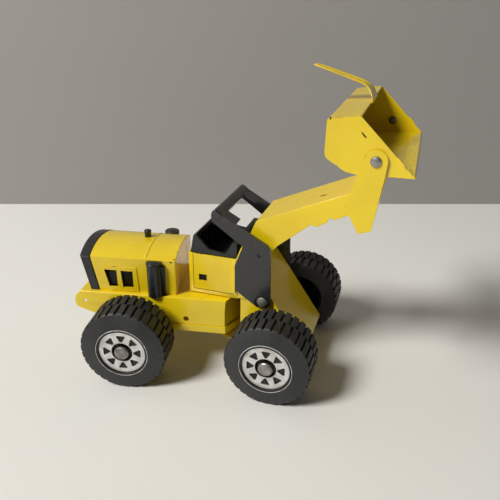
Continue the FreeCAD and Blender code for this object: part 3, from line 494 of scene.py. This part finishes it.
def turned_mesh(profile, centre=(0, 0), steps=64, sign=1):
    """Points and faces of a profile of (out, radius) turned about the left-right axis through (x, z)."""
    points, faces = [], []
    for step in range(steps):
        angle = 2 * math.pi * step / steps
        for out, radius in profile:
            points.append((centre[0] + radius * math.cos(angle), sign * out,
                           centre[1] + radius * math.sin(angle)))
    count = len(profile)
    for step in range(steps):
        here, there = step * count, (step + 1) % steps * count
        for corner in range(count - 1):
            faces.append((here + corner, here + corner + 1, there + corner + 1, there + corner))
    return points, faces


def joined(*parts):
    """Several (points, faces) as one."""
    points, faces = [], []
    for more_points, more_faces in parts:
        start = len(points)
        points += list(more_points)
        faces += [tuple(start + corner for corner in face) for face in more_faces]
    return points, faces


def prism(section, low, high):
    """A closed (across, up) outline pushed between two distances along y."""
    count = len(section)
    points = [(x, y, z) for y in (low, high) for x, z in section]
    faces = [tuple(range(count)), tuple(reversed(range(count, 2 * count)))]
    for corner in range(count):
        after = (corner + 1) % count
        faces.append((corner, after, count + after, count + corner))
    return points, faces


# %% [markdown]
# ## Tyres
#
# The tyre is a hard moulding with two rows of cross bars, set half a step apart, so that the bars of one
# row face the gaps of the other. Carving gaps out of a ring leaves sharp thin walls. Here the carcass is
# turned first and each bar is a block of its own that stands on it, because then every bar gets a soft edge
# all round. The sidewall carries a thin white ring and groups of small raised marks at the shoulder.

# %% Tyre carcass and bars
WHEELS = {
    "rear_left": (REAR, 1), "rear_right": (REAR, -1), "front_left": (FRONT, 1), "front_right": (FRONT, -1)}
AXLE_HEIGHT = 38.0
BARS = 32
BAR_TOP = 38.0
BAR_SHARE = 0.74  # of each step taken up by the bar, the rest by the gap
BAR_TAPER = 0.08
BAR_FOOT = 35.0
BAR_HEIGHT = 3.0
MARK_GROUPS = 6
MARK_STEP = 4.4  # degrees between the marks of a group
CARCASS = [
    (46.5, 23.2), (46.5, 29.0), (46.2, 34.0), (46.6, 35.2), (48.0, 35.5), (62.0, 35.5), (62.3, 36.6),
    (62.9, 36.6),
    (63.2, 35.5), (77.4, 35.5), (78.3, 36.7), (79.8, 36.8), (80.6, 35.2), (81.3, 31.6), (82.1, 27.6),
    (82.6, 25.0), (82.7, 23.9), (82.3, 23.2)]
INNER_BAR = [(46.2, 34.6), (46.3, 36.6), (47.3, BAR_TOP), (61.9, BAR_TOP), (61.9, 35.0)]
OUTER_BAR = [(63.3, 35.0), (63.3, BAR_TOP), (79.0, BAR_TOP), (80.2, 37.0), (80.5, 36.0), (79.8, 35.2)]


def tread_bar(section, angle, half_width):
    """A block whose (out, radius) section is swept over a few degrees, tapering slightly to its top."""
    points, faces = [], []
    steps = 3
    count = len(section)
    for step in range(steps + 1):
        share = 2 * step / steps - 1
        for out, radius in section:
            taper = 1 - BAR_TAPER * (radius - BAR_FOOT) / BAR_HEIGHT
            turn = angle + share * half_width * taper
            points.append((radius * math.cos(turn), out, radius * math.sin(turn)))
    for step in range(steps):
        for corner in range(count):
            after = (corner + 1) % count
            faces.append((step * count + corner, step * count + after, (step + 1) * count + after,
                          (step + 1) * count + corner))
    faces.append(tuple(range(count)))
    faces.append(tuple(reversed(range(steps * count, (steps + 1) * count))))
    return points, faces


def shoulder_mark(angle):
    """A small raised dash on the sidewall below the tread."""
    half = math.radians(1.1)
    low, high = 32.3, 33.5
    points = []
    for lift in (-0.4, 0.25):
        for radius, out in ((low, 80.95), (high, 80.45)):
            for turn in (angle - half, angle + half):
                points.append((radius * math.cos(turn), out + lift, radius * math.sin(turn)))
    faces = [(0, 1, 3, 2), (4, 6, 7, 5), (0, 4, 5, 1), (2, 3, 7, 6), (0, 2, 6, 4), (1, 5, 7, 3)]
    return points, faces


pitch = 2 * math.pi / BARS
half_bar = pitch / 2 * BAR_SHARE
parts = [turned_mesh(CARCASS, steps=128)]
for number in range(BARS):
    parts.append(tread_bar(INNER_BAR, pitch * (number + 0.5), half_bar))
    parts.append(tread_bar(OUTER_BAR, pitch * number, half_bar))
for group in range(MARK_GROUPS):
    for mark in (-1, 0, 1):
        parts.append(shoulder_mark(math.radians(360 / MARK_GROUPS * group + MARK_STEP * mark)))
tyre_points, tyre_faces = joined(*parts)


def wheel_place(section, side):
    """Stands a wheel drawn on the left about the origin on its own side of a section's axle."""
    turn = Matrix.Rotation(0 if side > 0 else math.pi, 4, "Z")
    return section @ Matrix.Translation((0, 0, AXLE_HEIGHT)) @ turn


for name, (section, side) in WHEELS.items():
    tyre = piece_from("tyre_tread_" + name, tyre_points, tyre_faces, wheel_place(section, side),
                      "wheel_" + name, "tyre_plastic")
    soften(tyre, 0.26, 2)
    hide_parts("tyre_" + name)
print("tread bars on each tyre:", 2 * BARS)

# %% [markdown]
# The white ring is a hair of paint on the sidewall. It is a real band with its own soft-edged section, so
# that it holds its shape from any side.

# %% White rings and wheel caps
ring_paint, ring_tree, ring_shader = new_material("ring_paint")
ring_smudges = place_group(ring_tree, SMUDGES, Scale=260.0, Speck_Scale=1500.0)
ring_patches = ring_smudges.outputs["Patches"]
ring_colour = mixed_colour(ring_tree, ring_patches, (0.80, 0.80, 0.78, 1), (0.42, 0.42, 0.41, 1))
join(ring_tree, ring_colour, ring_shader.inputs["Base Color"])
join(ring_tree, ranged(ring_tree, ring_patches, 0.35, 0.6), ring_shader.inputs["Roughness"])
RING = [(82.5, 22.7), (82.82, 22.75), (82.86, 22.95), (82.84, 23.15), (82.5, 23.2)]
for name, (section, side) in WHEELS.items():
    points, faces = turned_mesh(RING, steps=96)
    piece_from("sidewall_ring_" + name, points, faces, wheel_place(section, side), "wheel_" + name,
               "wheel_plastic", ring_paint)

AXLE_HALF = 82.4
CAP = [(AXLE_HALF - 3.2, 2.4), (AXLE_HALF - 3.2, 3.6), (AXLE_HALF - 1.2, 3.9), (AXLE_HALF - 1.0, 6.0)]
CAP += [(AXLE_HALF - 0.7, 6.35), (AXLE_HALF + 0.1, 6.4), (AXLE_HALF + 0.6, 6.15)]
CAP += [(AXLE_HALF + 0.6 + 1.5 * math.sin(angle), 5.9 * math.cos(angle))
        for angle in (math.radians(12 * step) for step in range(1, 8))]
CAP += [(AXLE_HALF + 2.4, 0.0)]
for end, section in (("rear", REAR), ("front", FRONT)):
    points, faces = joined(*(turned_mesh(CAP, (0, AXLE_HEIGHT), 48, sign) for sign in (1, -1)))
    caps = piece_from(end + "_wheel_caps", points, faces, section, end + "_section", "plain_steel")
    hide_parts(end + "_axle_caps")
print("caps and rings made")

# %% [markdown]
# ## Rivets
#
# A rivet's head is pressed over, so it is a low dome with a soft rim. Turning it with an arc keeps it round
# where a few straight steps would show as facets in the gloss.

# %% Rivet heads
def dome(out, radius, height):
    """The outer half of a head: a short rim, then an arc to the middle."""
    rim = 0.25 * height
    arc = [(out + rim + (height - rim) * math.sin(angle), radius * math.cos(angle))
           for angle in (math.radians(15 * step) for step in range(6))]
    return [(out, radius * 0.96), (out + 0.1, radius)] + arc + [(out + height, 0.0)]


PIVOTS = {
    "boom_rivets": ("front_section", (-16.8, 74.5), 3.0, 31.1, 37.3, 4.6, 1.5),
    "bucket_rivets": ("boom", (70.5, 219.8), 2.5, 71.0, 75.0, 3.85, 2.0)}
for name, (body, centre, shank, inside, outside, head, height) in PIVOTS.items():
    inner_head = [(inside - 0.9, 0.0), (inside - 0.8, head * 0.6), (inside, head * 0.9),
                  (inside + 1.0, head * 0.9)]
    profile = inner_head + [(inside + 1.0, shank), (outside, shank)] + dome(outside, head, height)
    points, faces = joined(*(turned_mesh(profile, centre, 40, sign) for sign in (1, -1)))
    rivets = piece_from(name.replace("rivets", "rivet_heads"), points, faces, FRONT, body, "plain_steel")
    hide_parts(name)
print("rivets made")

# %% [markdown]
# ## The tipping lever
#
# The lever is a tongue of sheet that hooks round the bucket's top edge and runs back to a rounded tip. Its
# edges are rolled up, which stiffens it and makes it kind to the thumb. It is built as rows of points
# across the tongue, placed along its path, with the roll added to each row, and given its thickness by
# Solidify.

# %% Lever
LEVER_PATH = [  # ahead, up, half width, how far the edges are rolled
    (48.0, 246.0, 15.0, 0.0), (54.0, 246.9, 15.0, 0.0), (58.4, 247.6, 15.0, 0.0), (59.2, 248.6, 15.0, 0.0),
    (58.6, 250.2, 15.0, 0.1), (57.6, 252.4, 14.4, 0.3), (56.2, 255.0, 12.4, 0.7), (53.8, 257.6, 10.2, 1.0),
    (50.8, 259.6, 8.8, 1.2), (47.0, 261.0, 8.0, 1.3), (38.0, 263.8, 7.6, 1.3), (28.0, 266.8, 7.3, 1.3),
    (19.0, 269.5, 6.9, 1.2), (14.0, 271.0, 6.2, 1.0), (11.6, 271.7, 5.0, 0.7), (10.2, 272.1, 3.4, 0.4)]
ACROSS = 16
UPPER_RUN = 10  # from this row on, the roll faces up
ROLL_FROM = 0.62  # share of the half width where the roll starts
points = []
for index, (ahead, up, half, roll) in enumerate(LEVER_PATH):
    before = LEVER_PATH[max(index - 1, 0)]
    after = LEVER_PATH[min(index + 1, len(LEVER_PATH) - 1)]
    along = Vector((after[0] - before[0], after[1] - before[1])).normalized()
    outwards = Vector((along.y, -along.x))
    if index >= UPPER_RUN:
        outwards = Vector((-abs(outwards.x), abs(outwards.y)))
    for step in range(ACROSS + 1):
        share = 2 * step / ACROSS - 1
        rolled = roll * max(0.0, (abs(share) - ROLL_FROM) / 0.38) ** 1.6
        rib = 0.25 * min(roll, 1) * math.exp(-((share / 0.16) ** 2))
        lift = outwards * (rolled + rib)
        points.append((ahead + lift.x, share * half, up + lift.y))
row = ACROSS + 1
faces = [(r * row + c, r * row + c + 1, (r + 1) * row + c + 1, (r + 1) * row + c)
         for r in range(len(LEVER_PATH) - 1) for c in range(ACROSS)]
lever = piece_from("lever_tongue", points, faces, FRONT, "bucket", "yellow_enamel")
sheet = lever.modifiers.new("sheet", "SOLIDIFY")
sheet.thickness = 0.9 * MM
sheet.offset = 0
smooth = lever.modifiers.new("smooth", "SUBSURF")
smooth.levels = 1
smooth.render_levels = 1
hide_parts("bucket_lever")
print("lever rows:", len(LEVER_PATH))

# %% [markdown]
# ## Cutting edge
#
# The floor's front edge is folded back on itself, and a row of tooth marks is pressed in it.

# %% Cutting edge with tooth marks
LIP_HALF = 71.6
FOLDED_LIP = [(86.5, 210.7), (97.0, 210.95), (97.0, 211.2), (96.3, 211.7), (87.0, 211.6), (86.5, 211.2)]
parts = [prism(FOLDED_LIP, -LIP_HALF, LIP_HALF)]
TEETH = 6
TOOTH_STEP = 23.0
for number in range(TEETH):
    middle = (number - (TEETH - 1) / 2) * TOOTH_STEP
    mark = [(90.0, 211.4), (94.2, 211.5), (93.8, 211.95), (92.1, 212.1), (90.4, 211.9)]
    parts.append(prism(mark, middle - 1.7, middle + 1.7))
points, faces = joined(*parts)
lip = piece_from("toothed_edge", points, faces, FRONT, "bucket", "yellow_enamel")
soften(lip, 0.25, 2)
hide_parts("cutting_edge")
print("tooth marks:", TEETH)

# %% [markdown]
# ## Hood details
#
# A bead is pressed across the hood's top to stiffen it, and the air cleaners have lids with a shallow
# groove.

# %% Bead and lids
CREST = 109.7
CROWN = 6.0
HOOD_HALF = 31.0
ARCH = (HOOD_HALF ** 2 + CROWN ** 2) / (2 * CROWN)


def arch_height(left):
    """The hood's top at a distance from its middle line."""
    return CREST - ARCH + math.sqrt(ARCH ** 2 - left ** 2)


def strip_over_hood(ahead, half_width, height, steps=40, reach=30.4):
    section = [(-half_width, -0.15), (-half_width * 0.6, height * 0.7), (0, height),
               (half_width * 0.6, height * 0.7), (half_width, -0.15)]
    points, faces = [], []
    for step in range(steps + 1):
        left = reach * (2 * step / steps - 1)
        fade = min(1.0, (1 - abs(left) / reach) * 12 + 0.1)
        for across, lift in section:
            points.append((ahead + across, left, arch_height(left) + lift * fade))
    count = len(section)
    for step in range(steps):
        for corner in range(count - 1):
            faces.append((step * count + corner, step * count + corner + 1, (step + 1) * count + corner + 1,
                          (step + 1) * count + corner))
    return points, faces


points, faces = strip_over_hood(9.5, 1.3, 0.6)
piece_from("hood_bead", points, faces, REAR, "rear_section", "yellow_enamel")


def upright_turned(profile, centre, steps=48):
    """A profile of (radius, height) turned about an upright axis."""
    points, faces = [], []
    for step in range(steps):
        angle = 2 * math.pi * step / steps
        for radius, height in profile:
            points.append((centre[0] + radius * math.cos(angle), centre[1] + radius * math.sin(angle),
                           height))
    count = len(profile)
    for step in range(steps):
        here, there = step * count, (step + 1) % steps * count
        faces += [(here + c, there + c, there + c + 1, here + c + 1) for c in range(count - 1)]
    return points, faces


LEFT_LID_RAISED = 3.0  # the left lid has worked loose
LID = [(6.0, 101.2), (6.95, 101.3), (7.05, 101.6), (7.05, 102.6), (6.7, 103.1), (5.6, 103.15), (5.3, 102.85),
       (4.9, 102.85), (4.6, 103.2), (0.0, 103.4)]
for side, sign in (("left", 1), ("right", -1)):
    raised = LEFT_LID_RAISED if side == "left" else 0.0
    seated = [(radius, height + (raised if height > 101.5 else 0.0)) for radius, height in LID]
    points, faces = upright_turned(seated, (18.4, sign * 33.6))
    piece_from("cleaner_lid_" + side, points, faces, REAR, "rear_section", "black_plastic")
STUB_LID = [(3.1, 114.2), (3.45, 114.3), (3.5, 115.4), (3.2, 116.0), (2.4, 116.15), (2.1, 115.4), (0.0, 115.3)]
points, faces = upright_turned(STUB_LID, (1.5, 8.0), 36)
piece_from("stub_lid", points, faces, REAR, "rear_section", "black_plastic")
print("hood details made")

# %% [markdown]
# The hood's two windows and the cab's port show black, from the shade inside. Behind each is a sheet of dull
# black that is painted shade, set back from the opening and a little larger than it, so that no lit yellow shows
# through from inside.

# %% Painted shade sheets behind the openings
def painted_shade_sheet(name, section, body, low, high, spot):
    """Two thin dark plates of painted shade, one for each side, inside the walls at a distance from the middle."""
    parts = []
    for sign in (1, -1):
        inner, outer = sorted((sign * spot, sign * (spot - 0.5)))
        corners = [(low[0], low[1]), (high[0], low[1]), (high[0], high[1]), (low[0], high[1])]
        parts.append(prism(corners, inner, outer))
    points, faces = joined(*parts)
    return piece_from(name, points, faces, section, body, "black_plastic", wheel_plastic)


# Painted shade: dark sheets that stand in for the shade inside the hood and the cab.
painted_shade_sheet("hood_painted_shade", REAR, "rear_section", (-26.0, 76.0), (6.0, 101.0), 29.4)
painted_shade_sheet("cab_painted_shade", FRONT, "front_section", (-78.0, 80.0), (-60.0, 98.0), 32.9)
print("painted_shade_sheets made")

# %% [markdown]
# ## The grip
#
# A child carries the toy by the roll bar, so its crossbar is a thick bar with well rounded corners. The
# frame's crossbar has the right place but small corners, so a rounder bar is drawn round it.

# %% Grip
def rounded_outline(corners, radius, steps=5):
    """An outline with each corner cut off by a curve."""
    path = []
    for index, corner in enumerate(corners):
        corner = Vector(corner)
        before = (Vector(corners[index - 1]) - corner).normalized() * radius + corner
        after = (Vector(corners[(index + 1) % len(corners)]) - corner).normalized() * radius + corner
        for step in range(steps + 1):
            share = step / steps
            path.append(tuple((1 - share) ** 2 * before + 2 * share * (1 - share) * corner + share ** 2 * after))
    return path


GRIP_CORNERS = [(-60.8, 156.7), (-65.0, 149.8), (-57.0, 144.7), (-52.7, 151.6)]
GRIP_HALF = 37.6
points, faces = prism(rounded_outline(GRIP_CORNERS, 3.2), -GRIP_HALF, GRIP_HALF)
grip = piece_from("roll_bar_grip", points, faces, FRONT, "boom", "black_enamel")
soften(grip, 1.2, 4)
print("grip made")

# %% [markdown]
# ## Seams
#
# The cab's side is folded in from the back and from below, and a dark gap shows where the flaps meet the
# panel. Each seam is a narrow ribbon laid just proud of the sheet, because a real cut that narrow would be
# lost. The chips where the paint was knocked off are made the same way, as small uneven flakes that lie on
# the face.

# %% Seams and old knocks
seam_shadow, seam_tree, seam_shader = new_material("seam_shadow")
seam_noise = noise(seam_tree, 600.0, 3.0, "dirt")
join(seam_tree, mixed_colour(seam_tree, seam_noise, (0.012, 0.008, 0.003, 1), (0.07, 0.045, 0.01, 1)),
     seam_shader.inputs["Base Color"])
join(seam_tree, ranged(seam_tree, seam_noise, 0.55, 0.85), seam_shader.inputs["Roughness"])


PROUD = 0.06
SUNK = -0.25


def ribbon(path, outwards, width):
    """A strip through (x, y, z) points, lying square to outwards and standing just off the face."""
    normal = Vector(outwards).normalized()
    points, faces = [], []
    for first, second in zip(path, path[1:]):
        first, second = Vector(first), Vector(second)
        across = (second - first).cross(normal).normalized() * width / 2
        start = len(points)
        for spot in (first, second):
            for lift in (PROUD, SUNK):
                points += [spot + across + normal * lift, spot - across + normal * lift]
        faces += [(start, start + 1, start + 5, start + 4), (start + 2, start + 6, start + 7, start + 3),
                  (start, start + 4, start + 6, start + 2), (start + 1, start + 3, start + 7, start + 5),
                  (start, start + 2, start + 3, start + 1), (start + 4, start + 5, start + 7, start + 6)]
    return points, faces


CAB_HALF = 34.5
for side, sign in (("left", 1), ("right", -1)):
    face = sign * CAB_HALF
    upright_seam = ribbon([(-82.6, face, 110.6), (-82.6, face, 76.0)], (0, sign, 0), 0.45)
    low_seam = ribbon([(-82.6, face, 76.0), (-43.6, face, 76.0)], (0, sign, 0), 0.45)
    points, faces = joined(upright_seam, low_seam)
    piece_from("cab_seam_" + side, points, faces, FRONT, "front_section", "yellow_enamel", seam_shadow)


PANEL_FACE = 37.4
points, faces = joined(
    ribbon([(PANEL_FACE, -14.6, 100.5), (PANEL_FACE, -15.2, 71.5)], (1, 0, 0), 0.5),
    ribbon([(PANEL_FACE, 14.6, 100.5), (PANEL_FACE, 15.2, 71.5)], (1, 0, 0), 0.5))
piece_from("panel_seams", points, faces, REAR, "rear_section", "yellow_enamel", seam_shadow)


RIM_POINTS = 10


def knock(spot, along, outwards, length, width, seed):
    """A small chip: an uneven flake-shaped patch of bare metal, lying on the face."""
    draw = random.Random(seed)
    normal = Vector(outwards).normalized()
    ahead = Vector(along).normalized()
    across = normal.cross(ahead)
    rim = []
    for step in range(RIM_POINTS):
        angle = 2 * math.pi * step / RIM_POINTS
        size = 1 + draw.uniform(-0.25, 0.25)
        rim.append(Vector(spot) + ahead * (math.cos(angle) * length / 2 * size)
                   + across * (math.sin(angle) * width / 2 * size))
    points = [point + normal * 0.05 for point in rim] + [point - normal * 0.2 for point in rim]
    faces = [tuple(range(RIM_POINTS)), tuple(reversed(range(RIM_POINTS, 2 * RIM_POINTS)))]
    for step in range(RIM_POINTS):
        after = (step + 1) % RIM_POINTS
        faces.append((step, after, RIM_POINTS + after, RIM_POINTS + step))
    return points, faces


boom_up = (-0.403, 0, 0.915)
KNOCKS = {
    "boom": ("boom", FRONT, [((26.0, -9.0, 169.65), (0.8, -0.35, 0.36), boom_up, 6.5, 1.4)]),
    "bucket": ("bucket", FRONT, [((60.6, -73.0, 236.7), (0.7, 0, -0.7), (0, -1, 0), 4.6, 1.3),
                                 ((37.5, -73.0, 246.0), (1, 0, 0), (0, -1, 0), 1.6, 1.8)]),
    "hood": ("rear_section", REAR, [((33.5, -31.0, 103.0), (1, 0, 0), (0, -1, 0), 2.8, 1.5),
                                    ((36.0, -28.0, 104.8), (0, 1, 0.2), (0, -0.2, 1), 2.6, 1.4)]),
}
number = 0
for name, (body, section, spots) in KNOCKS.items():
    parts = []
    for spot, along, outwards, length, width in spots:
        number += 1
        parts.append(knock(spot, along, outwards, length, width, number))
    points, faces = joined(*parts)
    piece_from("knocks_on_" + name, points, faces, section, body, "yellow_enamel", seam_shadow)
print("seams and knocks made")
